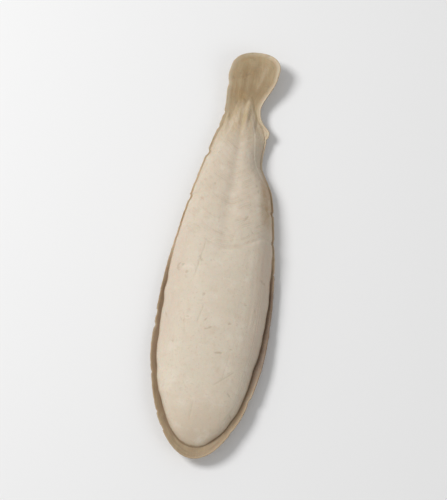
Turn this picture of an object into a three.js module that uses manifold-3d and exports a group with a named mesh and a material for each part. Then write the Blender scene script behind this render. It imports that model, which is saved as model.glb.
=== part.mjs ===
// A cuttlebone, the internal shell of a cuttlefish, lying on its shield with the chalk upwards.
// A thin hard shield, gently convex below, carries a body of layered chalk. The shield runs out
// past the chalk as a hollow horny lobe at the tail and as a narrow margin along both sides and
// round the front. A short worn spine points back under the tail lobe. It all grew as one piece.
//
// Millimetres. +Z is up, +Y points to the tail, +X is to the right as seen from above.
// The origin is on the surface that the bone lies on, under the middle of its outline.

import * as THREE from "three";
import { mergeVertices } from "three/addons/utils/BufferGeometryUtils.js";
import Module from "manifold-3d";

// Driving dimensions
const LENGTH = 180;
const WIDTH = 49; // of the shield at its widest, nearly
const CHALK_WIDTH = 44.5; // of the chalk's outline, in the same measure as WIDTH
const CHALK_THICKNESS = 14.8; // at its thickest, on the shield
const SHIELD_THICKNESS = 1.3;

// How fine the faceted surface is
const STATIONS = 76;
const SECTION_POINTS = 44;
const MARGIN_POINTS = 2; // of a section's points, those across the bare margin on one side
const SPINE_SIDES = 10;

// Everything along the bone is set by u, from 0 at the tail to 1 at the front.

// Half width against that of an ellipse of the same length and width.
const FULLNESS = [
  [0, 1.42], [0.02, 1.3], [0.05, 1.01], [0.08, 0.8], [0.11, 0.65], [0.14, 0.55], [0.17, 0.52],
  [0.2, 0.55], [0.3, 0.67], [0.45, 0.83], [0.6, 0.98], [0.75, 1.11], [0.9, 1.18], [1, 1.19],
];

// Chalk thickness as a share of the thickest.
const CHALK_RISE = [
  [0.12, 0], [0.16, 0.14], [0.2, 0.31], [0.3, 0.61], [0.4, 0.84], [0.5, 0.97], [0.58, 1],
  [0.66, 0.985], [0.74, 0.91], [0.82, 0.76], [0.89, 0.54], [0.94, 0.31], [0.975, 0],
];

const CHALK_ENDS = [0.045, 0.975]; // where the chalk's outline closes
const LEAST_MARGIN = 0.8; // mm of shield left beside the chalk where the edge is broken
const NARROWEST_CHALK = 0.35; // of the shield's half width, near the two ends

const LOWEST_AT = 0.56; // where the shield's underside touches down
const TAIL_LIFT = 8; // mm that the shield rises towards the tail
const FRONT_LIFT = 6;
const LIFT_POWER = 2.1;
const SHIELD_SAG = 0.19; // rise of the shield from its middle line to its edge, per half width
const REST_DEPTH = 0.75; // mm rubbed off the underside, where the bone rests
const REST_RIM = 0.15; // mm above that flat up to which the underside is drawn down to it

const LOBE_LEAN = 2.8; // mm that the tail lobe leans to the right
const LOBE_END = 0.22;

// Breaks in the right margin: a notch at the waist, a flap left standing and a long worn stretch.
const BREAKS = [
  { at: 0.135, half: 0.045, depth: 3.2 },
  { at: 0.194, half: 0.018, depth: -1.8 },
  { at: 0.275, half: 0.048, depth: 3.3 },
];

const LIP_ROUNDING = 0.35; // share of the section's turn over which the margin's edge rounds off
const TAIL_CURVE = 0.05; // how much further from the tail the chalk begins at its sides
const TAIL_CURVE_FADES = [0.3, 0.6];
const GROOVED = [0.3, 0.62]; // between these the chalk turns from grooved to domed
const GROOVE_DEPTH = 1.1; // mm, the groove along the middle of the chalk's tail half
const GROOVE_HALF_WIDTH = 0.17; // of the chalk's half width

// The chalk's section: height goes as (1 - q^steep)^round, q from 0 at the middle to 1 at the foot.
const DOMED = { steep: 2.1, round: 0.72 };
const GROOVED_SECTION = { steep: 2.8, round: 0.58 };

const SPINE = { length: 7, radius: 1.3, rootAt: 0.055, rootHeight: -0.2, tilt: -0.12 };

const { clamp, lerp, smoothstep } = THREE.MathUtils;
const breakDepth = ({ at, half, depth }, u) => depth * Math.exp(-(((u - at) / half) ** 2));

// A smooth function of u through the points of a list, level beyond its ends.
function curveThrough(points) {
  const slope = points.map((_, i) => {
    const before = points[Math.max(i - 1, 0)];
    const after = points[Math.min(i + 1, points.length - 1)];
    return (after[1] - before[1]) / (after[0] - before[0]);
  });
  return (u) => {
    if (u <= points[0][0]) return points[0][1];
    if (u >= points.at(-1)[0]) return points.at(-1)[1];
    const i = points.findIndex(([at]) => at > u) - 1;
    const [start, from] = points[i];
    const [end, to] = points[i + 1];
    const run = end - start;
    const t = (u - start) / run;
    const rise = t * t * (3 - 2 * t);
    const eased = run * t * (1 - t) * (slope[i] * (1 - t) - slope[i + 1] * t);
    return from + (to - from) * rise + eased;
  };
}

const fullness = curveThrough(FULLNESS);
const chalkRise = curveThrough(CHALK_RISE);

// Half width of the shield; side is +1 on the right and -1 on the left.
function shieldHalfWidth(u, side) {
  const ellipse = WIDTH * Math.sqrt(u * (1 - u));
  const broken = side > 0 ? BREAKS.reduce((sum, one) => sum + breakDepth(one, u), 0) : 0;
  return Math.max(ellipse * fullness(u) - broken, 0);
}

// Half width of the chalk's outline, which closes a little way in from both ends.
function chalkHalfWidth(u, halfWidth) {
  const [tail, front] = CHALK_ENDS;
  const v = clamp((u - tail) / (front - tail), 0, 1);
  const outline = CHALK_WIDTH * Math.sqrt(v * (1 - v)) * fullness(u);
  return Math.max(Math.min(outline, halfWidth - LEAST_MARGIN), 0);
}

function middleLineX(u) {
  return LOBE_LEAN * (1 - clamp(u / LOBE_END, 0, 1)) ** 2;
}

// Height of the shield's underside along its middle line.
function keelHeight(u) {
  return u < LOWEST_AT
    ? TAIL_LIFT * ((LOWEST_AT - u) / LOWEST_AT) ** LIFT_POWER
    : FRONT_LIFT * ((u - LOWEST_AT) / (1 - LOWEST_AT)) ** LIFT_POWER;
}

// Height of the chalk on the shield; q runs from 0 on the middle line to 1 at the chalk's side.
function chalkHeight(u, q) {
  if (q >= 1) return 0;
  const curved = 1 - smoothstep(u, ...TAIL_CURVE_FADES);
  const rise = chalkRise(u - TAIL_CURVE * curved * q * q);
  const grooved = 1 - smoothstep(u, ...GROOVED);
  const steep = lerp(DOMED.steep, GROOVED_SECTION.steep, grooved);
  const round = lerp(DOMED.round, GROOVED_SECTION.round, grooved);
  const crown = (1 - q ** steep) ** round;
  const groove = GROOVE_DEPTH * grooved * Math.exp(-((q / GROOVE_HALF_WIDTH) ** 2));
  return rise * (CHALK_THICKNESS * crown - groove);
}

// A place on the upper side: share runs from 0 to 1 across it, and the first and last points
// stay on the bare margin, so that one row of edges follows the foot of the chalk.
function upperSide(u, share, halfWidth) {
  const marginShare = (2 * MARGIN_POINTS) / SECTION_POINTS;
  const fromEdge = Math.min(share, 1 - share);
  const chalkHalf = chalkHalfWidth(u, halfWidth);
  const foot = Math.max(chalkHalf, NARROWEST_CHALK * halfWidth);
  if (fromEdge < marginShare) {
    const across = halfWidth - ((halfWidth - foot) * fromEdge) / marginShare;
    return { across, chalk: 0 };
  }
  const across = foot * Math.cos((Math.PI * (fromEdge - marginShare)) / (1 - 2 * marginShare));
  return { across, chalk: chalkHalf > 0 ? chalkHeight(u, across / chalkHalf) : 0 };
}

// Moves each point of a unit sphere, poles at the tail and the front, onto the bone.
function boneGeometry() {
  const geometry = new THREE.SphereGeometry(1, SECTION_POINTS, STATIONS);
  const position = geometry.getAttribute("position");
  const point = new THREE.Vector3();
  for (let i = 0; i < position.count; i++) {
    point.fromBufferAttribute(position, i);
    const u = clamp((1 - point.y) / 2, 0, 1);
    const angle = Math.atan2(point.z, point.x);
    const side = Math.abs(angle) < Math.PI / 2 ? 1 : -1;
    const halfWidth = shieldHalfWidth(u, side);
    const above = angle > 0;
    const place = above
      ? upperSide(u, angle / Math.PI, halfWidth)
      : { across: Math.abs(Math.cos(angle)) * halfWidth, chalk: 0 };
    const outward = halfWidth > 0 ? place.across / halfWidth : 0;
    const unworn = keelHeight(u) + SHIELD_SAG * halfWidth * outward * outward;
    const turn = Math.sqrt(Math.max(1 - outward * outward, 0));
    const lip = clamp(turn / LIP_ROUNDING, 0, 1) * clamp(halfWidth / SHIELD_THICKNESS, 0, 1);
    const worn = unworn < REST_DEPTH + REST_RIM ? REST_DEPTH : unworn;
    const z = above ? unworn + SHIELD_THICKNESS * lip + place.chalk : worn;
    position.setXYZ(i, middleLineX(u) + side * place.across, LENGTH * (0.5 - u), z);
  }
  return geometry;
}

// The spine, a short cone under the tail lobe that points back, with its root in the shield.
function spineGeometry() {
  const geometry = new THREE.ConeGeometry(SPINE.radius, SPINE.length, SPINE_SIDES);
  geometry.translate(0, SPINE.length / 2, 0);
  geometry.rotateX(SPINE.tilt);
  geometry.translate(
    middleLineX(SPINE.rootAt),
    LENGTH * (0.5 - SPINE.rootAt),
    keelHeight(SPINE.rootAt) + SPINE.rootHeight,
  );
  return geometry;
}

const wasm = await Module();
wasm.setup();

function solidFrom(geometry) {
  geometry.deleteAttribute("normal");
  geometry.deleteAttribute("uv");
  const merged = mergeVertices(geometry);
  return new wasm.Manifold(
    new wasm.Mesh({
      numProp: 3,
      vertProperties: merged.getAttribute("position").array,
      triVerts: new Uint32Array(merged.index.array),
    }),
  );
}

function geometryFrom(solid) {
  const mesh = solid.getMesh();
  return new THREE.BufferGeometry()
    .setAttribute("position", new THREE.BufferAttribute(mesh.vertProperties, 3))
    .setIndex(new THREE.BufferAttribute(mesh.triVerts, 1));
}

function cuttleboneMesh() {
  const geometry = geometryFrom(solidFrom(boneGeometry()).add(solidFrom(spineGeometry())));
  geometry.computeBoundingBox();
  const { min, max } = geometry.boundingBox;
  geometry.translate(-(min.x + max.x) / 2, -(min.y + max.y) / 2, -min.z);
  geometry.computeVertexNormals();
  const shell = new THREE.MeshStandardMaterial({ color: 0xe3d8c6, roughness: 0.8, metalness: 0 });
  const mesh = new THREE.Mesh(geometry, shell);
  mesh.name = "cuttlebone";
  return mesh;
}

const cuttlebone = new THREE.Group();
cuttlebone.add(cuttleboneMesh());

export default cuttlebone;
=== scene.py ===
import math

import bpy
import numpy as np
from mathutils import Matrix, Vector


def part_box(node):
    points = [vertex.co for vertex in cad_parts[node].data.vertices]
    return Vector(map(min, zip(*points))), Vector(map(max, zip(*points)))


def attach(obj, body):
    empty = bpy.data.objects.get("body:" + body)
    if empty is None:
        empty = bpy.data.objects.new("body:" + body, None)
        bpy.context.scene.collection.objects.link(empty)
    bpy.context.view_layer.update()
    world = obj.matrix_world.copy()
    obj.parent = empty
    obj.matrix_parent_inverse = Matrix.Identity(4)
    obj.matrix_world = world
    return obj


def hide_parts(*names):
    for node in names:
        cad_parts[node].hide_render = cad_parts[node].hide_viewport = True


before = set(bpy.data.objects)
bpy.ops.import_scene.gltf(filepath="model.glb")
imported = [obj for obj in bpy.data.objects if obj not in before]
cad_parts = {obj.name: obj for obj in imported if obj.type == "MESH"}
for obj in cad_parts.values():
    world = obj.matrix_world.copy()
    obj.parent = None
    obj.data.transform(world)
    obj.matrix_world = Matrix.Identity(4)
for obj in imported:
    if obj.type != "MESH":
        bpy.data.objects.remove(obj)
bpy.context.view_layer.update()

# ---------------------------------------------------------------------------------------------
# The bone's outline.
# A cuttlebone is the internal shell of a cuttlefish. It grew forwards from the spine at its
# tail, so its shape is drawn by curves along its length: u is 0 at the tail and 1 at the front.

low, high = (Vector(corner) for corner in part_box("cuttlebone"))
LENGTH = high.y - low.y
LENGTH_MM = 180
MM = LENGTH / LENGTH_MM  # so the sizes below are those of a bone 180 mm long
WIDTH = 49 * MM  # of the shield at its widest, nearly
CHALK_WIDTH = 44.5 * MM  # of the chalk's outline, in the same measure
CHALK_ENDS = (0.045, 0.975)  # where the chalk's outline closes
LEAST_MARGIN = 0.8 * MM  # of shield left beside the chalk where the edge is broken
LOBE_LEAN = 2.8 * MM  # how far the tail leans to the right
LOBE_END = 0.22

# Where the chalk is wider than its plain outline, as (u, how many times).
CHALK_SPREAD = [(0.18, 1.0), (0.27, 1.09), (0.46, 1.07), (0.6, 1.0), (1, 0.99)]

# Half width against that of an ellipse of the same length and width, as (u, share).
FULLNESS = [
    (0, 1.42), (0.02, 1.3), (0.05, 1.01), (0.08, 0.8), (0.11, 0.65), (0.14, 0.55), (0.17, 0.52),
    (0.2, 0.55), (0.3, 0.67), (0.45, 0.83), (0.6, 0.98), (0.75, 1.11), (0.9, 1.18), (1, 1.19),
]

# Pieces broken out of the thin edge, and humps left standing between them, as
# (side, u, half length in u, depth); a depth below 0 stands out.
RIGHT = 1
LEFT = -1
CHIPS = [
    (RIGHT, 0.135, 0.045, 3.2 * MM),
    (RIGHT, 0.194, 0.018, -1.8 * MM),
    (RIGHT, 0.275, 0.048, 3.3 * MM),
    (RIGHT, 0.463, 0.006, 0.5 * MM),
    (RIGHT, 0.93, 0.006, 0.4 * MM),
    (LEFT, 0.085, 0.009, 0.6 * MM),
    (LEFT, 0.262, 0.008, 0.8 * MM),
    (LEFT, 0.7, 0.007, 0.7 * MM),
]
NICK_DEPTH = 0.45 * MM  # of the small nicks all along both edges


def curve_through(points):
    """A smooth function of u through the points, level beyond its ends."""
    at, value = np.array(points, dtype=float).T
    before = np.maximum(np.arange(len(at)) - 1, 0)
    after = np.minimum(np.arange(len(at)) + 1, len(at) - 1)
    slope = (value[after] - value[before]) / (at[after] - at[before])

    def curve(u):
        k = np.clip(np.searchsorted(at, u, side="right") - 1, 0, len(at) - 2)
        run = at[k + 1] - at[k]
        t = np.clip((u - at[k]) / run, 0, 1)
        eased = run * t * (1 - t) * (slope[k] * (1 - t) - slope[k + 1] * t)
        return value[k] + (value[k + 1] - value[k]) * t * t * (3 - 2 * t) + eased

    return curve


def smoothstep(x, start, end):
    t = np.clip((x - start) / (end - start), 0, 1)
    return t * t * (3 - 2 * t)


LATTICE_SIZE = 64
LATTICE = np.random.default_rng(7).uniform(-1, 1, (LATTICE_SIZE, LATTICE_SIZE))


def lattice(column, row):
    return LATTICE[column % LATTICE_SIZE, row % LATTICE_SIZE]


def grain(x, y, layer=0):
    """Smooth noise from -1 to 1, with features about one unit across; each layer differs."""
    x, y = np.broadcast_arrays(x + 17.3 * layer, y + 9.1 * layer)
    column = np.floor(x).astype(int)
    row = np.floor(y).astype(int)
    tx = smoothstep(x - column, 0, 1)
    ty = smoothstep(y - row, 0, 1)
    bottom = lattice(column, row) * (1 - tx) + lattice(column + 1, row) * tx
    top = lattice(column, row + 1) * (1 - tx) + lattice(column + 1, row + 1) * tx
    return bottom * (1 - ty) + top * ty


fullness = curve_through(FULLNESS)
chalk_spread = curve_through(CHALK_SPREAD)


def plain_half_width(u):
    return WIDTH * np.sqrt(np.clip(u * (1 - u), 0, None)) * fullness(u)


def half_width(u, side):
    """Half width of the shield out to its worn and chipped edge."""
    whole = plain_half_width(u)
    edge = whole
    for chip_side, at, half, depth in CHIPS:
        edge = edge - np.where(side == chip_side, depth, 0) * np.exp(-(((u - at) / half) ** 2))
    nicked = smoothstep(grain(u * 55, side * 5.0, 21), 0.62, 0.9)
    ragged = 0.2 * MM * grain(u * 17, side * 5.0) + 0.07 * MM * grain(u * 150, side * 5.0, 1)
    ragged = ragged - NICK_DEPTH * nicked
    return np.maximum(edge + ragged * smoothstep(whole, 0, 12 * MM), 0)


def chalk_half_width(u, side):
    v = np.clip((u - CHALK_ENDS[0]) / (CHALK_ENDS[1] - CHALK_ENDS[0]), 0, 1)
    outline = CHALK_WIDTH * np.sqrt(v * (1 - v)) * fullness(u) * chalk_spread(u)
    uneven = 0.3 * MM * grain(u * 38, side * 3.0, 2) + 0.6 * MM * grain(u * 10, side * 3.0, 17)
    uneven = uneven * smoothstep(outline, 0, 10 * MM)
    return np.maximum(np.minimum(outline + uneven, half_width(u, side) - LEAST_MARGIN), 0)


def middle_x(u):
    return LOBE_LEAN * (1 - np.clip(u / LOBE_END, 0, 1)) ** 2


# ---------------------------------------------------------------------------------------------
# The shield.
# The hard back of the bone is gently convex and hollow at the tail. It is horn at the margin
# and the tail lobe, and covered below with granular lime. It touches down on its worn middle.

TINY = 1e-6  # metres, so that nothing is divided by a width of 0
SHIELD_THICKNESS = 1.3 * MM
EDGE_THICKNESS = 0.45 * MM
LOWEST_AT = 0.56  # where along the bone the underside touches down
TAIL_LIFT = 8 * MM
FRONT_LIFT = 6 * MM
LIFT_POWER = 2.1
SHIELD_SAG = 0.19  # rise from the middle line to the edge, per half width
REST_DEPTH = 0.75 * MM  # rubbed off below, where the bone rests
REST_RIM = 0.15 * MM  # below this the underside is drawn down to the flat
BACK_ARCH = 26.0  # mm that a growth line of the back falls back to the tail at the edge
BACK_RIBS = (-0.36, 0, 0.36)  # their places, as shares of the half width


def keel_height(u):
    to_tail = np.clip((LOWEST_AT - u) / LOWEST_AT, 0, None)
    to_front = np.clip((u - LOWEST_AT) / (1 - LOWEST_AT), 0, None)
    return TAIL_LIFT * to_tail**LIFT_POWER + FRONT_LIFT * to_front**LIFT_POWER - REST_DEPTH


def shield_under(u, across):
    return keel_height(u) + SHIELD_SAG * across**2 / np.maximum(plain_half_width(u), TINY)


def shield_thickness(from_edge):
    rounded = np.sqrt(1 - (1 - np.clip(from_edge / (0.25 * MM), 0, 1)) ** 2)
    inner = smoothstep(from_edge, 0, 6 * MM)
    return rounded * (EDGE_THICKNESS + (SHIELD_THICKNESS - EDGE_THICKNESS) * inner)


def cells(x, y):
    """Distance from each point to the nearest of a scatter of points, one to a unit square."""
    nearest = np.full(np.shape(x), np.inf)
    for step_x in (-1, 0, 1):
        for step_y in (-1, 0, 1):
            column = np.floor(x).astype(int) + step_x
            row = np.floor(y).astype(int) + step_y
            point_x = column + 0.5 + 0.45 * lattice(column, row)
            point_y = row + 0.5 + 0.45 * lattice(row, column + 31)
            nearest = np.minimum(nearest, np.hypot(x - point_x, y - point_y))
    return nearest


def back_relief(u, across, from_edge):
    """How far the limy back stands out below the plain shield."""
    limy = smoothstep(from_edge + 0.8 * MM * grain(u * 60, 0, 3), 2.6 * MM, 3.6 * MM)
    limy = limy * smoothstep(u, 0.035, 0.09)
    share = across / np.maximum(plain_half_width(u), TINY)
    arc = u * LENGTH_MM + BACK_ARCH * share**2
    granules = 0.17 * MM * (1 - smoothstep(cells(across / (1.5 * MM), arc / 1.7), 0.1, 0.75))
    ribs = sum(0.3 * MM * np.exp(-(((share - at) / 0.1) ** 2)) for at in BACK_RIBS)
    growth = 0.07 * MM * np.sin(arc * 0.9 + 1.5 * grain(across / (9 * MM), arc / 14, 4))
    lobe_lines = 0.05 * MM * grain(from_edge / (0.8 * MM), u * 25, 18)
    fade = smoothstep(u, 0.1, 0.3)
    return limy * (0.22 * MM + granules + (ribs + growth) * fade) + (1 - limy) * lobe_lines


def margin_wave(u, side, half, beyond_chalk):
    """How the thin margin bends up and down, the more the further it is from the chalk."""
    wave = 0.4 * MM * grain(u * 16, side * 4.0, 13) + 0.15 * MM * grain(u * 55, side * 4.0, 14)
    return wave * beyond_chalk**2 * smoothstep(half, 3 * MM, 10 * MM)


def horn_relief(u, side, signed, from_edge):
    """The growth lines along the bare horn, and the tail lobe's fan of ribs and middle ridge."""
    lobe = 1 - smoothstep(u, 0.1, 0.17)
    spread = np.arctan2(signed, (0.19 - u) * LENGTH)
    fan = 0.12 * MM * grain(spread * 13, u * 9, 15) * smoothstep(from_edge, 0.5 * MM, 3 * MM)
    ridge = 0.25 * MM * np.exp(-((signed / (2.4 * MM)) ** 2)) * smoothstep(u, 0.02, 0.08)
    rings = 0.05 * MM * grain(from_edge / (0.75 * MM), u * 22 + side * 6.0, 16) * (1 - 0.75 * lobe)
    return rings + lobe * (fan + ridge)


# ---------------------------------------------------------------------------------------------
# The chalk.
# Thin layers of lime stand on pillars, one laid over the next from the tail forwards. Their
# worn edges cross the tail half as fine arched lines, and the last layer is the smooth dome.

CHALK_THICKNESS = 14.8 * MM  # at its thickest, on the shield

# Thickness as a share of the thickest, as (u, share).
CHALK_RISE = [
    (0.12, 0), (0.16, 0.14), (0.2, 0.31), (0.3, 0.61), (0.4, 0.84), (0.5, 0.97), (0.58, 1),
    (0.66, 0.985), (0.74, 0.91), (0.82, 0.76), (0.89, 0.54), (0.94, 0.31), (0.975, 0),
]
TAIL_CURVE = 0.05  # how much further from the tail the chalk begins at its sides
TAIL_CURVE_FADES = (0.3, 0.6)
GROOVED = (0.3, 0.62)  # between these the chalk turns from grooved to domed
GROOVE_DEPTH = 1.1 * MM
GROOVE_HALF_WIDTH = 0.17  # of the chalk's half width

# The section's height goes as (1 - q ** steep) ** round, q from 0 at the middle to 1 at the foot.
DOMED_STEEP = 2.1
DOMED_ROUND = 0.72
GROOVED_STEEP = 2.8
GROOVED_ROUND = 0.58

NICKS = 34
SCRATCHES = 12
LAYER_ARCH = 11.0  # mm that a layer's edge falls back towards the tail at the chalk's side
LAST_LAYER = 92.0  # mm from the tail where the last layer's edge crosses the middle

# Where a thin ledge parts the smooth side strip from the layers, as (u, share of half width).
LEDGE = [
    (0.17, 0.42), (0.2, 0.5), (0.24, 0.62), (0.28, 0.76), (0.32, 0.86), (0.4, 0.92), (1, 0.94),
]

# Soft dents pressed in the chalk: (u, share of the half width, half length, half width, depth).
DENTS = [
    (0.505, 0.2, 1.6 * MM, 8 * MM, 0.24 * MM),
    (0.552, 0.3, 1.3 * MM, 7 * MM, 0.26 * MM),
    (0.585, 0.1, 1.4 * MM, 9 * MM, 0.2 * MM),
    (0.668, 0.24, 2.2 * MM, 9 * MM, 0.28 * MM),
    (0.748, 0.16, 2.4 * MM, 10 * MM, 0.26 * MM),
    (0.63, -0.4, 3.2 * MM, 4 * MM, 0.3 * MM),
    (0.82, -0.2, 2.6 * MM, 6 * MM, 0.2 * MM),
    (0.36, -0.3, 2.6 * MM, 4 * MM, 0.26 * MM),
]

# Soft furrows along the chalk's right flank: (share of the half width, half width, depth).
FURROWS = [
    (0.56, 0.035, 0.07 * MM),
    (0.67, 0.026, 0.12 * MM),
    (0.78, 0.034, 0.1 * MM),
    (0.86, 0.02, 0.08 * MM),
]

chalk_rise = curve_through(CHALK_RISE)
ledge_share = curve_through(LEDGE)


def layer_place(u, q):
    """Distance from the tail, in mm, along the middle line of the layer's edge at a point."""
    return u * LENGTH_MM + LAYER_ARCH * q**2 - 1.2 * np.exp(-((q / 0.25) ** 2))


def fingers(u, across):
    """How ragged the tail end of the chalk is, in u."""
    return 0.016 * grain(across / (1.7 * MM), u * 14, 5) * (1 - smoothstep(u, 0.16, 0.26))


def chalk_body(u, q, across):
    """Height of the plain chalk on the shield."""
    tail_half = 1 - smoothstep(u, *TAIL_CURVE_FADES)
    rise = chalk_rise(u - TAIL_CURVE * tail_half * q**2 - fingers(u, across))
    grooved = 1 - smoothstep(u, *GROOVED)
    steep = DOMED_STEEP + (GROOVED_STEEP - DOMED_STEEP) * grooved
    rounding = DOMED_ROUND + (GROOVED_ROUND - DOMED_ROUND) * grooved
    crown = np.clip(1 - q**steep, 0, None) ** rounding
    groove = GROOVE_DEPTH * grooved * np.exp(-((q / GROOVE_HALF_WIDTH) ** 2))
    return rise * np.maximum(CHALK_THICKNESS * crown - groove, 0)


def beside_line(x, y, aside, at, turn):
    """How far along a turned line through a place, and how far off it, each point lies."""
    along = (x - aside) * math.cos(turn) + (y - at) * math.sin(turn)
    off = (y - at) * math.cos(turn) - (x - aside) * math.sin(turn)
    return along, off


def marks(x, y):
    """Nicks and scratches that handling leaves in soft chalk, as a depth."""
    chance = np.random.default_rng(23)
    depth = np.zeros(np.shape(x))
    for _ in range(NICKS):
        aside = chance.uniform(-0.4, 0.4) * WIDTH
        at = LENGTH * (0.5 - chance.uniform(0.24, 0.94))
        turn = chance.uniform(0, math.pi)
        half_long = chance.uniform(0.5, 1.9) * MM
        half_wide = chance.uniform(0.25, 0.6) * MM
        along, off = beside_line(x, y, aside, at, turn)
        reach = np.hypot(along / half_long, off / half_wide)
        reach = reach + 0.45 * grain(x / (0.7 * MM), y / (0.7 * MM), 19)
        deepest = chance.uniform(0.08, 0.24) * MM
        depth = np.maximum(depth, deepest * (1 - smoothstep(reach, 0.4, 1.3)))
    for _ in range(SCRATCHES):
        aside = chance.uniform(-0.36, 0.36) * WIDTH
        at = LENGTH * (0.5 - chance.uniform(0.4, 0.9))
        turn = math.pi / 2 + chance.normal(0, 0.45)
        along, off = beside_line(x, y, aside, at, turn)
        off = off + 0.5 * MM * grain(along / (6 * MM), 0, 6)
        half_long = chance.uniform(4, 11) * MM
        ends = 1 - smoothstep(np.abs(along), half_long * 0.6, half_long)
        deepest = chance.uniform(0.05, 0.12) * MM
        depth = np.maximum(depth, deepest * ends * np.exp(-((off / (0.4 * MM)) ** 2)))
    return depth


def ledge_wander(u, across):
    """How far the ledge strays from its even line, as a share of the half width."""
    return 0.025 * grain(u * 24, np.sign(across) * 4.0, 22)


def flank_relief(u, q, across):
    """The ledge of the side strip, the lines along the strip and the furrows of the flank."""
    past = q - ledge_share(u) - ledge_wander(u, across)
    unworn = 0.3 + 0.7 * smoothstep(grain(u * 32, np.sign(across) * 3.0, 25), -0.45, 0.45)
    lip = 0.13 * MM * np.exp(-(((past - 0.035) / 0.03) ** 2))
    cut = 0.16 * MM * np.exp(-((past / 0.022) ** 2))
    lines = 0.06 * MM * np.sin(past * 80 + grain(u * 22, 0, 12)) * smoothstep(past, 0, 0.05)
    strip = smoothstep(u, 0.17, 0.22) * (1 - smoothstep(u, 0.6, 0.76))
    furrows = 0
    for share, half, depth in FURROWS:
        wander = 0.05 * grain(u * 11, share * 40, 20)
        broken = 0.55 + 0.45 * grain(u * 26, share * 60, 23)
        furrows = furrows + broken * depth * np.exp(-(((q - share - wander) / half) ** 2))
    right_flank = (across > 0) * smoothstep(u, 0.42, 0.52) * (1 - smoothstep(u, 0.7, 0.82))
    return strip * (unworn * (lip - cut) + lines) - right_flank * furrows


def chalk_relief(u, q, across):
    """What stands on the chalk's plain shape, or is pressed into it below 0."""
    place = layer_place(u, q) + 0.8 * grain(across / (6 * MM), u * 16, 7)
    last = smoothstep(place, LAST_LAYER - 0.8, LAST_LAYER + 0.8)
    strength = 0.6 + 0.4 * grain(across / (7 * MM), u * 26, 9)
    bundle = place / 2.6 + 0.9 * grain(u * 30, across / (20 * MM), 8)
    layers = 0.06 * MM * np.sin(2 * math.pi * bundle) * strength - 0.26 * MM
    bend = 2 * grain(across / (14 * MM), u * 8, 10)
    swell = 0.09 * MM * np.sin(2 * math.pi * u * LENGTH_MM / 9.5 + bend)
    swell = swell * (0.6 + 0.4 * grain(u * 9, 0, 26))
    swell = swell + 0.17 * MM * grain(across / (8 * MM), u * 15, 11)
    relief = (1 - last) * layers + last * swell * (1 - smoothstep(q, 0.75, 0.98))
    relief = relief + 0.035 * MM * grain(across / (1.3 * MM), u * 138, 24)
    dents = 0
    for at, share, half_length, half_across, depth in DENTS:
        off = (across - share * WIDTH / 2) / half_across
        dents = dents + depth * np.exp(-(((u - at) * LENGTH / half_length) ** 2) - off**2)
    return relief - dents + flank_relief(u, q, across)


# ---------------------------------------------------------------------------------------------
# The bone's mesh.
# One closed skin of rings of points round the bone: across the upper side from the right edge
# to the left, over margin, chalk and margin, and back below. The spine is a small closed cone.

STATIONS = 410
MARGIN_POINTS = 13
CHALK_POINTS = 108
UNDER_POINTS = 80
OUTLINE_POINTS = 360
NARROWEST_CHALK = 0.3  # of the shield's half width, for the points near the two ends
NO_CHALK = 0.3 * MM  # chalk thinner than this lets the horn's own relief through

SPINE_LENGTH = 7 * MM
SPINE_RADIUS = 1.35 * MM
SPINE_ROOT = 0.055  # in u
SPINE_SUNK = 0.35 * MM  # how deep in the shield its root lies
SPINE_RINGS = 21
SPINE_SIDES = 28


def eased(count):
    """Shares from 0 to 1 that crowd together at both ends."""
    return (1 - np.cos(np.linspace(0, math.pi, count + 1))) / 2


def ring_grid():
    """Each grid point's u, side, distance across, and whether it is on the upper side."""
    even = np.linspace(0, 1, STATIONS + 1)[1:-1]
    u = (0.58 * even + 0.42 * (1 - np.cos(math.pi * even)) / 2)[:, None]
    right = half_width(u, RIGHT)
    left = half_width(u, LEFT)
    right_foot = np.maximum(chalk_half_width(u, RIGHT), NARROWEST_CHALK * right)
    left_foot = np.maximum(chalk_half_width(u, LEFT), NARROWEST_CHALK * left)
    bare = eased(MARGIN_POINTS)[None, :-1]
    turn = np.cos(np.linspace(0, math.pi, CHALK_POINTS + 1))[None, :]
    chalk = np.where(turn > 0, right_foot, left_foot) * turn
    below = -np.cos(np.linspace(0, math.pi, UNDER_POINTS + 1))[None, 1:-1]
    across = np.hstack([
        right - (right - right_foot) * bare,
        chalk,
        -left_foot - (left - left_foot) * eased(MARGIN_POINTS)[None, 1:],
        np.where(below > 0, right, left) * below,
    ])
    above = np.arange(across.shape[1]) <= 2 * MARGIN_POINTS + CHALK_POINTS
    return np.broadcast_to(u, across.shape), across, np.broadcast_to(above, across.shape)


def distance_to_edge(x, y):
    """How far each point is from the nearest place on the bone's outline, seen from above."""
    u = eased(OUTLINE_POINTS)
    right = middle_x(u) + half_width(u, RIGHT) + 1j * LENGTH * (0.5 - u)
    left = middle_x(u) - half_width(u, LEFT) + 1j * LENGTH * (0.5 - u)
    outline = np.concatenate([right, left[-2::-1]])
    start = outline[:-1]
    run = np.diff(outline)
    distance = np.empty(np.shape(x))
    for ring, place in enumerate(x + 1j * y):
        offset = place[:, None] - start
        share = np.clip((offset * run.conj()).real / np.maximum(np.abs(run) ** 2, TINY**2), 0, 1)
        distance[ring] = np.abs(offset - share * run).min(axis=1)
    return distance


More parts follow.
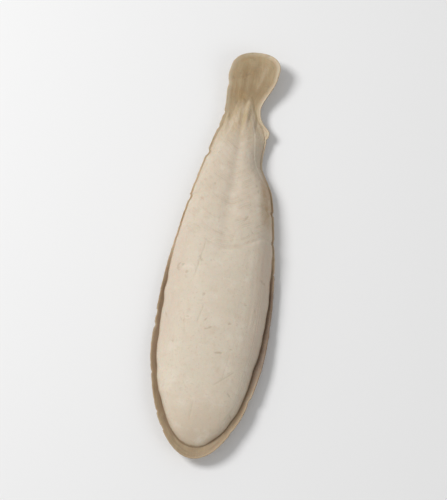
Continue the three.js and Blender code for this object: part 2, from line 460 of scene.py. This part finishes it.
def bone_points():
    """The places of the grid's points, and what each point of the surface is."""
    u, signed, above = ring_grid()
    side = np.where(signed >= 0, RIGHT, LEFT)
    across = np.abs(signed)
    half = half_width(u, side)
    chalk_half = chalk_half_width(u, side)
    q = across / np.maximum(chalk_half, TINY)
    inside = np.minimum(q, 1)
    x = middle_x(u) + signed
    y = LENGTH * (0.5 - u)
    from_edge = distance_to_edge(x, y)

    # Relief and wear fade out where the chalk runs thin, and the horn's own begins.
    on_chalk = above & (q < 1)
    body = np.where(on_chalk, chalk_body(u, inside, signed), 0)
    firm = smoothstep(body, 0.15 * MM, 1.5 * MM)
    wear = np.where(on_chalk, marks(x, y), 0) * firm
    relief = np.where(on_chalk, chalk_relief(u, inside, signed), 0) * firm
    bare = np.where(body > NO_CHALK, 0, 1) * smoothstep(from_edge, 0.2 * MM, 0.8 * MM)
    horn = bare * horn_relief(u, side, signed, from_edge)

    beyond_chalk = np.clip((across - chalk_half) / np.maximum(half - chalk_half, TINY), 0, 1)
    under = shield_under(u, across) + margin_wave(u, side, half, beyond_chalk)
    top = under + shield_thickness(from_edge) + body + relief - wear + horn
    bottom = under - back_relief(u, signed, from_edge) * smoothstep(from_edge, 0, 0.6 * MM)
    resting = smoothstep(under, REST_RIM, 0.5 * REST_RIM)
    z = np.where(above, top, np.maximum(bottom * (1 - resting), 0))

    surface = {
        "along": u,
        "across": signed / np.maximum(plain_half_width(u), TINY),
        "from_edge": from_edge / MM,
        "chalk": body / MM,
        "chalk_share": np.minimum(q, 2),
        "past_ledge": inside - ledge_share(u) - ledge_wander(u, signed),
        "layer": layer_place(u, inside),
        "below": np.where(above, 0.0, 1.0),
        "wear": wear / MM,
        "relief": np.where(above, relief, 0) / MM,
    }
    return np.stack([x, y, z], axis=-1), surface


def spine_points(surface_names):
    """A worn, slightly bent cone under the lobe, pointing back, with its root in the shield."""
    root_x = float(middle_x(SPINE_ROOT))
    root_y = LENGTH * (0.5 - SPINE_ROOT)
    root_z = float(keel_height(SPINE_ROOT)) + SPINE_SUNK
    share = np.linspace(0, 1, SPINE_RINGS + 1)[:, None]
    turn = np.linspace(0, 2 * math.pi, SPINE_SIDES, endpoint=False)[None, :]
    taper = SPINE_RADIUS * np.sqrt(smoothstep(share, -0.05, 0.35)) * (1 - share) ** 0.62
    taper = taper * (1 + 0.06 * np.sin(3 * turn + 9 * share))
    droop = SPINE_LENGTH * (0.1 * share + 0.07 * share**2)
    rings = np.stack(np.broadcast_arrays(
        root_x + taper * np.cos(turn),
        root_y + SPINE_LENGTH * share,
        root_z - droop + taper * np.sin(turn),
    ), axis=-1)
    start = np.array([[root_x, root_y, root_z]])
    tip = np.array([[root_x, root_y + SPINE_LENGTH, root_z - float(droop[-1, 0])]])
    skin = np.vstack([start, rings[:-1].reshape(-1, 3), tip])
    values = dict.fromkeys(surface_names, 0.0)
    values.update(along=SPINE_ROOT, below=1.0, from_edge=1.5)
    return skin, {name: np.full(len(skin), value) for name, value in values.items()}


def capped_rings(first, rings, around):
    """Faces over rings of points, with one point before them and one after them."""

    def point(ring, k):
        return first + 1 + ring * around + k % around

    last = first + 1 + rings * around
    faces = [(first, point(0, k + 1), point(0, k)) for k in range(around)]
    for ring in range(rings - 1):
        faces += [
            (point(ring, k), point(ring, k + 1), point(ring + 1, k + 1), point(ring + 1, k))
            for k in range(around)
        ]
    return faces + [(last, point(rings - 1, k), point(rings - 1, k + 1)) for k in range(around)]


def bone_mesh():
    grid, surface = bone_points()
    rings, around = grid.shape[:2]
    ends = [
        [float(middle_x(0)), LENGTH / 2, float(keel_height(0)) + EDGE_THICKNESS / 2],
        [0.0, -LENGTH / 2, float(keel_height(1)) + EDGE_THICKNESS / 2],
    ]
    points = np.vstack([[ends[0]], grid.reshape(-1, 3), [ends[1]]])
    values = {
        name: np.concatenate([[value[0].mean()], value.ravel(), [value[-1].mean()]])
        for name, value in surface.items()
    }
    spine, spine_values = spine_points(surface)
    faces = capped_rings(0, rings, around)
    faces += [face[::-1] for face in capped_rings(len(points), SPINE_RINGS, SPINE_SIDES)]
    mesh = bpy.data.meshes.new("cuttlebone_surface")
    mesh.from_pydata(np.vstack([points, spine]).tolist(), [], faces)
    for name, value in values.items():
        attribute = mesh.attributes.new(name, "FLOAT", "POINT")
        whole = np.concatenate([value, spine_values[name]]).astype(np.float32)
        attribute.data.foreach_set("value", whole)
    mesh.shade_smooth()
    mesh.validate()
    return mesh


bone = bpy.data.objects.new("cuttlebone_surface", bone_mesh())
bpy.context.scene.collection.objects.link(bone)

# ---------------------------------------------------------------------------------------------
# The bone's finish.
# Cream chalk, dull and powdery, lies on tan horn that is slightly waxy. The horn shows bare at
# the tail lobe and at the margin, where it is stained brown. The back is limy and granular.
# Painted shade darkens the chalk's foot and hollows and the right margin; a highlight is painted
# too.

# What each point of the mesh knows of itself.
SKIN_VALUES = (
    "along", "across", "from_edge", "chalk", "chalk_share",
    "past_ledge", "layer", "below", "wear", "relief",
)

# The Mix node's sockets for colours.
FIRST_COLOUR = 6
SECOND_COLOUR = 7
MIXED_COLOUR = 2


class Wire:
    """A socket of a material's nodes; an expression on values adds the Math nodes it needs."""

    def __init__(self, tree, socket=None):
        self.tree = tree
        self.socket = socket

    def node(self, kind, settings=None, inputs=None, output=0):
        """One new node, given its settings and its inputs; "stops" are a colour ramp's."""
        made = self.tree.nodes.new(kind)
        for name, setting in (settings or {}).items():
            if name == "stops":
                ramp = made.color_ramp
                while len(ramp.elements) < len(setting):
                    ramp.elements.new(1)
                for element, (at, colour) in zip(ramp.elements, setting):
                    element.position = at
                    element.color = (*colour, 1)
            else:
                setattr(made, name, setting)
        for key, value in (inputs or {}).items():
            if isinstance(value, Wire):
                self.tree.links.new(value.socket, made.inputs[key])
            else:
                made.inputs[key].default_value = value
        return Wire(self.tree, made.outputs[output] if made.outputs else None)

    def math(self, operation, *values):
        return self.node("ShaderNodeMath", {"operation": operation}, dict(enumerate(values)))

    def __add__(self, other):
        return self.math("ADD", self, other)

    __radd__ = __add__

    def __sub__(self, other):
        return self.math("SUBTRACT", self, other)

    def __rsub__(self, other):
        return self.math("SUBTRACT", other, self)

    def __mul__(self, other):
        return self.math("MULTIPLY", self, other)

    __rmul__ = __mul__

    def between(self, start, end):
        """0 below start and 1 above end, smoothly in between; start may be the larger."""
        settings = {"interpolation_type": "SMOOTHSTEP"}
        return self.node("ShaderNodeMapRange", settings, {0: self, 1: start, 2: end})

    def mix(self, factor, first, second):
        """The first colour where the factor is 0, and the second where it is 1."""
        inputs = {0: factor}
        for key, colour in ((FIRST_COLOUR, first), (SECOND_COLOUR, second)):
            inputs[key] = colour if isinstance(colour, Wire) else (*colour, 1)
        return self.node("ShaderNodeMix", {"data_type": "RGBA"}, inputs, MIXED_COLOUR)


def sine(of):
    return of.node("ShaderNodeMath", {"operation": "SINE"}, {0: of})


def noise(paint, size_mm, detail=3, rough=0.55, stretch=(1, 1, 1)):
    """Noise on the bone from 0 to 1, about 0.5, with features some size_mm across."""
    place = paint.node("ShaderNodeTexCoord", output="Object")
    scaled = paint.node("ShaderNodeMapping", {}, {"Vector": place, "Scale": stretch})
    return paint.node("ShaderNodeTexNoise", {}, {
        "Vector": scaled,
        "Scale": 1 / (size_mm * MM),
        "Detail": detail,
        "Roughness": rough,
    })


def surface_values(paint):
    """The mesh's own values, and the noises that the finishes share."""
    skin = {
        name: paint.node("ShaderNodeAttribute", {"attribute_name": name}, output="Fac")
        for name in SKIN_VALUES
    }
    skin["blotch"] = noise(paint, 22)
    skin["cloud"] = noise(paint, 7, 4, 0.6)
    skin["patch"] = noise(paint, 3.2, 4, 0.6)
    skin["speck"] = noise(paint, 1.1, 3, 0.6)
    skin["pore"] = noise(paint, 0.32, 2, 0.7)
    skin["streak"] = noise(paint, 1.5, 3, 0.6, (1, 0.12, 1))
    beside_edge = paint.node("ShaderNodeCombineXYZ", {}, {
        0: skin["from_edge"] * 1.5,
        1: skin["along"] * 26,
        2: skin["across"] * 2,
    })
    skin["growth"] = paint.node("ShaderNodeTexNoise", {}, {
        "Vector": beside_edge,
        "Scale": 1.0,
        "Detail": 3,
    })
    return skin


def layer_lines(paint, skin):
    """The worn edges of the chalk's layers, in the tail half only."""
    shown = skin["layer"].between(LAST_LAYER + 0.6, LAST_LAYER - 1.5)
    shown = shown * skin["past_ledge"].between(0.0, -0.04)
    waver = skin["layer"] + (noise(paint, 5, 2) - 0.5) * 2.2
    fine = sine(waver * (2 * math.pi / 0.9)) * 0.5 + 0.5
    broad = sine(waver * (2 * math.pi / 2.9)).between(0.1, 1)
    worn = noise(paint, 4, 3).between(0.42, 0.66)
    return shown * fine * worn, shown * broad * worn


def chalk_colour(paint, skin, fine_lines, broad_lines):
    """Cream, browner at both ends, with layers' edges, stains, wear, painted shade and highlight.
    """
    along = skin["along"]
    across = skin["across"]
    past_ledge = skin["past_ledge"]
    cloud = skin["cloud"]
    streak = skin["streak"]
    cream = paint.node("ShaderNodeValToRGB", {"stops": [
        (0.13, (0.47, 0.36, 0.225)),
        (0.18, (0.53, 0.43, 0.31)),
        (0.25, (0.585, 0.50, 0.395)),
        (0.45, (0.63, 0.55, 0.443)),
        (0.62, (0.65, 0.57, 0.46)),
        (0.85, (0.665, 0.585, 0.47)),
        (0.96, (0.58, 0.485, 0.37)),
    ]}, {0: along + (skin["blotch"] - 0.5) * 0.1})
    cream = paint.mix(skin["blotch"].between(0.4, 0.72) * 0.3, cream, (0.60, 0.50, 0.39))
    cream = paint.mix(cloud.between(0.5, 0.75) * 0.4, cream, (0.77, 0.71, 0.61))
    cream = paint.mix(skin["patch"].between(0.52, 0.72) * 0.3, cream, (0.56, 0.455, 0.335))
    cream = paint.mix(skin["speck"].between(0.58, 0.7) * 0.32, cream, (0.48, 0.38, 0.27))
    drawn = noise(paint, 5, 4, 0.65, (0.35, 1, 1)).between(0.48, 0.7)
    cream = paint.mix(drawn * 0.22, cream, (0.58, 0.485, 0.375))
    cream = paint.mix(fine_lines * 0.25, cream, (0.46, 0.365, 0.265))
    cream = paint.mix(broad_lines * 0.25, cream, (0.48, 0.385, 0.28))

    # Horn shows through the thin tail end of the chalk in yellowish streaks.
    streaky = along.between(0.25, 0.15) * streak.between(0.42, 0.62)
    cream = paint.mix(streaky * 0.7, cream, (0.44, 0.335, 0.19))

    # Painted shade darkens the side strip behind its ledge, and the right flank is pinkish.
    near_tail = along.between(0.15, 0.19) * along.between(0.46, 0.36)
    cream = paint.mix(past_ledge.between(0.01, 0.06) * near_tail * 0.35, cream, (0.56, 0.47, 0.35))
    # A painted highlight lies along the ledge's lip.
    painted_ledge_highlight = past_ledge.between(-0.02, 0.02) * past_ledge.between(0.085, 0.035)
    painted_ledge_highlight = painted_ledge_highlight * (across.between(-0.2, 0.2) * 0.3 + 0.15) * skin["patch"].between(0.3, 0.6)
    cream = paint.mix(painted_ledge_highlight * near_tail, cream, (0.76, 0.70, 0.585))
    beside_front = along.between(0.4, 0.5) * along.between(0.84, 0.7)
    flank = skin["chalk_share"].between(0.55, 0.85) * beside_front
    cream = paint.mix(flank * (streak * 0.7 + 0.1), cream, (0.56, 0.45, 0.36))

    # An orange-brown stain has soaked into the right side.
    stained = along.between(0.29, 0.33) * along.between(0.46, 0.41) * across.between(0.64, 0.8)
    soaked = stained * (skin["patch"].between(0.25, 0.75) * 0.45 + 0.3)
    cream = paint.mix(soaked, cream, (0.42, 0.28, 0.15))

    # Painted shade where the chalk thins to its foot.
    painted_foot_shade = skin["chalk"].between(2.4, 0.2) * along.between(0.2, 0.3)
    cream = paint.mix(painted_foot_shade * 0.5, cream, (0.44, 0.335, 0.22))
    cream = paint.mix(skin["wear"].between(0.02, 0.14) * 0.55, cream, (0.46, 0.37, 0.27))
    # Painted shade in the deepest hollows of the chalk's relief.
    return paint.mix(skin["relief"].between(-0.3, -0.55) * 0.35, cream, (0.52, 0.43, 0.325))


def horn_colour(paint, skin):
    """Tan on the lobe, with a paler rim; mottled brown along the margin, with some painted shade.
    """
    along = skin["along"]
    from_edge = skin["from_edge"]
    cloud = skin["cloud"]
    horn = paint.node("ShaderNodeValToRGB", {"stops": [
        (0.03, (0.40, 0.30, 0.175)),
        (0.1, (0.345, 0.245, 0.135)),
        (0.17, (0.47, 0.365, 0.23)),
        (0.24, (0.58, 0.49, 0.37)),
        (0.36, (0.56, 0.44, 0.30)),
        (0.5, (0.53, 0.42, 0.30)),
        (0.6, (0.30, 0.20, 0.125)),
        (0.74, (0.31, 0.215, 0.13)),
        (0.88, (0.325, 0.23, 0.135)),
        (0.98, (0.355, 0.26, 0.16)),
    ]}, {0: along + (skin["blotch"] - 0.5) * 0.08})
    lobe = along.between(0.2, 0.13)
    centre = lobe * from_edge.between(2.5, 7) * cloud.between(0.3, 0.65)
    horn = paint.mix(centre * 0.6, horn, (0.27, 0.18, 0.09))
    horn = paint.mix(lobe * (from_edge + cloud).between(2.9, 0.9) * 0.65, horn, (0.58, 0.49, 0.35))
    horn = paint.mix(skin["streak"].between(0.48, 0.68) * 0.3, horn, (0.50, 0.395, 0.24))
    horn = paint.mix(cloud.between(0.52, 0.74) * 0.4, horn, (0.43, 0.285, 0.125))
    horn = paint.mix(skin["patch"].between(0.54, 0.72) * 0.35, horn, (0.21, 0.14, 0.08))
    margin = 1 - lobe
    lines = skin["growth"].between(0.5, 0.66) * (margin * 0.3 + 0.06)
    horn = paint.mix(lines, horn, (0.21, 0.145, 0.08))
    horn = paint.mix(skin["speck"].between(0.62, 0.74) * lobe * 0.4, horn, (0.24, 0.16, 0.08))
    # Painted shade on the horn right beside the chalk's foot, in the front half.
    painted_foot_shade = skin["chalk_share"].between(1.22, 1.02) * along.between(0.5, 0.62)
    horn = paint.mix(painted_foot_shade * 0.5, horn, (0.18, 0.115, 0.065))
    # Painted shade darkens the right margin in the front half.
    darkest = along.between(0.52, 0.6) * along.between(0.86, 0.76)
    painted_shade_side = skin["across"].between(0.3, 0.7) * darkest
    painted_margin_shade = painted_shade_side * (skin["patch"].between(0.3, 0.6) * 0.4 + 0.3)
    horn = paint.mix(painted_margin_shade, horn, (0.16, 0.10, 0.065))
    pale_edge = margin * from_edge.between(1.1, 0.1) * (1 - painted_shade_side * 0.8)
    return paint.mix(pale_edge * 0.4, horn, (0.56, 0.44, 0.285))


def back_colour(paint, skin, limy, horn):
    """Pale lime in granules, with the horn bare again round its edge."""
    lime = paint.mix(skin["blotch"].between(0.3, 0.7), (0.66, 0.58, 0.475), (0.72, 0.65, 0.55))
    lime = paint.mix(skin["cloud"].between(0.45, 0.75) * 0.45, lime, (0.60, 0.47, 0.37))
    lime = paint.mix(skin["speck"].between(0.5, 0.7) * 0.25, lime, (0.52, 0.42, 0.31))
    return paint.mix(limy, horn, lime)


def skin_height(paint, skin, chalky, limy, fine_lines):
    """The finest relief, in mm: chalk pores and layer edges, horn lines, lime granules."""
    place = paint.node("ShaderNodeTexCoord", output="Object")
    level = paint.node("ShaderNodeSeparateXYZ", {}, {0: place}, output="Z")
    stacked = sine((level + (skin["cloud"] - 0.5) * (0.9 * MM)) * (2 * math.pi / (0.75 * MM)))
    flank = skin["chalk_share"].between(0.72, 0.95)
    chalk = skin["pore"] * 0.07 + skin["speck"] * 0.13 - fine_lines * 0.06 + flank * stacked * 0.03
    horn = skin["speck"] * 0.05 + skin["growth"] * 0.1
    lime = paint.node("ShaderNodeTexVoronoi", {"feature": "SMOOTH_F1"}, {
        "Vector": place,
        "Scale": 1 / (0.8 * MM),
        "Smoothness": 0.6,
    })
    upper = chalky * chalk + (1 - chalky) * horn
    back = limy * (0.13 - lime * 0.13) + skin["pore"] * 0.03
    return upper * (1 - skin["below"]) + skin["below"] * back


def bone_finish():
    material = bpy.data.materials.new("cuttlebone_chalk_and_horn")
    material.use_nodes = True
    material.node_tree.nodes.clear()
    paint = Wire(material.node_tree)
    skin = surface_values(paint)
    fine_lines, broad_lines = layer_lines(paint, skin)

    # A powdery, uneven line parts the chalk from the bare horn.
    uneven = (skin["cloud"] - 0.5) * 0.9 + (skin["speck"] - 0.5) * 0.5
    chalky = (skin["chalk"] + uneven).between(0.15, 0.9)
    limy = (skin["from_edge"] + (skin["cloud"] - 0.5) * 1.6).between(2.4, 3.3)
    limy = limy * skin["along"].between(0.03, 0.09)
    horn = horn_colour(paint, skin)
    upper = paint.mix(chalky, horn, chalk_colour(paint, skin, fine_lines, broad_lines))
    dry = chalky * (1 - skin["below"]) + limy * skin["below"]
    normal = paint.node("ShaderNodeBump", {}, {
        "Strength": 1.0,
        "Distance": MM,
        "Height": skin_height(paint, skin, chalky, limy, fine_lines),
    })
    shader = paint.node("ShaderNodeBsdfPrincipled", {}, {
        "Base Color": paint.mix(skin["below"], upper, back_colour(paint, skin, limy, horn)),
        "Roughness": dry * 0.37 + (skin["speck"] - 0.5) * 0.12 + 0.5,
        "Coat Weight": (1 - dry) * 0.14,
        "Coat Roughness": 0.35,
        "IOR": 1.5,
        "Specular IOR Level": 0.35,
        "Subsurface Weight": 0.1,
        "Subsurface Scale": 1.2 * MM,
        "Normal": normal,
    })
    paint.node("ShaderNodeOutputMaterial", {}, {"Surface": shader})
    return material


bone.data.materials.append(bone_finish())
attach(bone, "root")
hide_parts("cuttlebone")

# ---------------------------------------------------------------------------------------------
# The floor.
# A plain pale sheet that the bone lies on, large enough to fill every view.


def floor_sheet():
    half = 40 * LENGTH
    corners = [(-half, -half, 0), (half, -half, 0), (half, half, 0), (-half, half, 0)]
    mesh = bpy.data.meshes.new("floor")
    mesh.from_pydata(corners, [], [(0, 1, 2, 3)])
    sheet = bpy.data.objects.new("floor", mesh)
    bpy.context.scene.collection.objects.link(sheet)
    material = bpy.data.materials.new("pale_floor")
    material.use_nodes = True
    shader = material.node_tree.nodes["Principled BSDF"]
    shader.inputs["Base Color"].default_value = (0.84, 0.84, 0.84, 1)
    shader.inputs["Roughness"].default_value = 0.9
    mesh.materials.append(material)
    return sheet


floor_sheet()

# ---------------------------------------------------------------------------------------------
# The light.
# A large soft lamp high on the left, a weaker one on the right and a pale surround.


def soft_lamp(name, place, size, power):
    light = bpy.data.lights.new(name, "AREA")
    light.shape = "DISK"
    light.size = size * LENGTH
    light.energy = power
    lamp = bpy.data.objects.new(name, light)
    lamp.location = Vector(place) * LENGTH
    lamp.rotation_euler = (-lamp.location).to_track_quat("-Z", "Y").to_euler()
    bpy.context.scene.collection.objects.link(lamp)


soft_lamp("key", (-3.6, 0.9, 4.2), 2.2, 7.0)
soft_lamp("fill", (4.5, -2.5, 4.5), 4.0, 1.6)

surround = bpy.data.worlds.new("surround")
surround.use_nodes = True
surround.node_tree.nodes["Background"].inputs["Color"].default_value = (1, 1, 1, 1)
surround.node_tree.nodes["Background"].inputs["Strength"].default_value = 0.42
bpy.context.scene.world = surround
bpy.context.scene.view_settings.view_transform = "Standard"

# ---------------------------------------------------------------------------------------------
# The camera.
# It looks down on the bone with the tail lobe at the top, leaning a little to the right.

ELEVATION = math.radians(72)
SWING = math.radians(8.5)
DISTANCE = 4.85 * LENGTH
AIM = Vector((0, 0, 0.35 * high.z))

lens = bpy.data.cameras.new("camera")
lens.lens = 150
lens.clip_start = 0.01
lens.clip_end = 100
camera = bpy.data.objects.new("camera", lens)
outward = Vector((
    math.sin(SWING) * math.cos(ELEVATION),
    -math.cos(SWING) * math.cos(ELEVATION),
    math.sin(ELEVATION),
))
camera.location = AIM + DISTANCE * outward
camera.rotation_euler = (-outward).to_track_quat("-Z", "Y").to_euler()
bpy.context.scene.collection.objects.link(camera)
bpy.context.scene.camera = camera
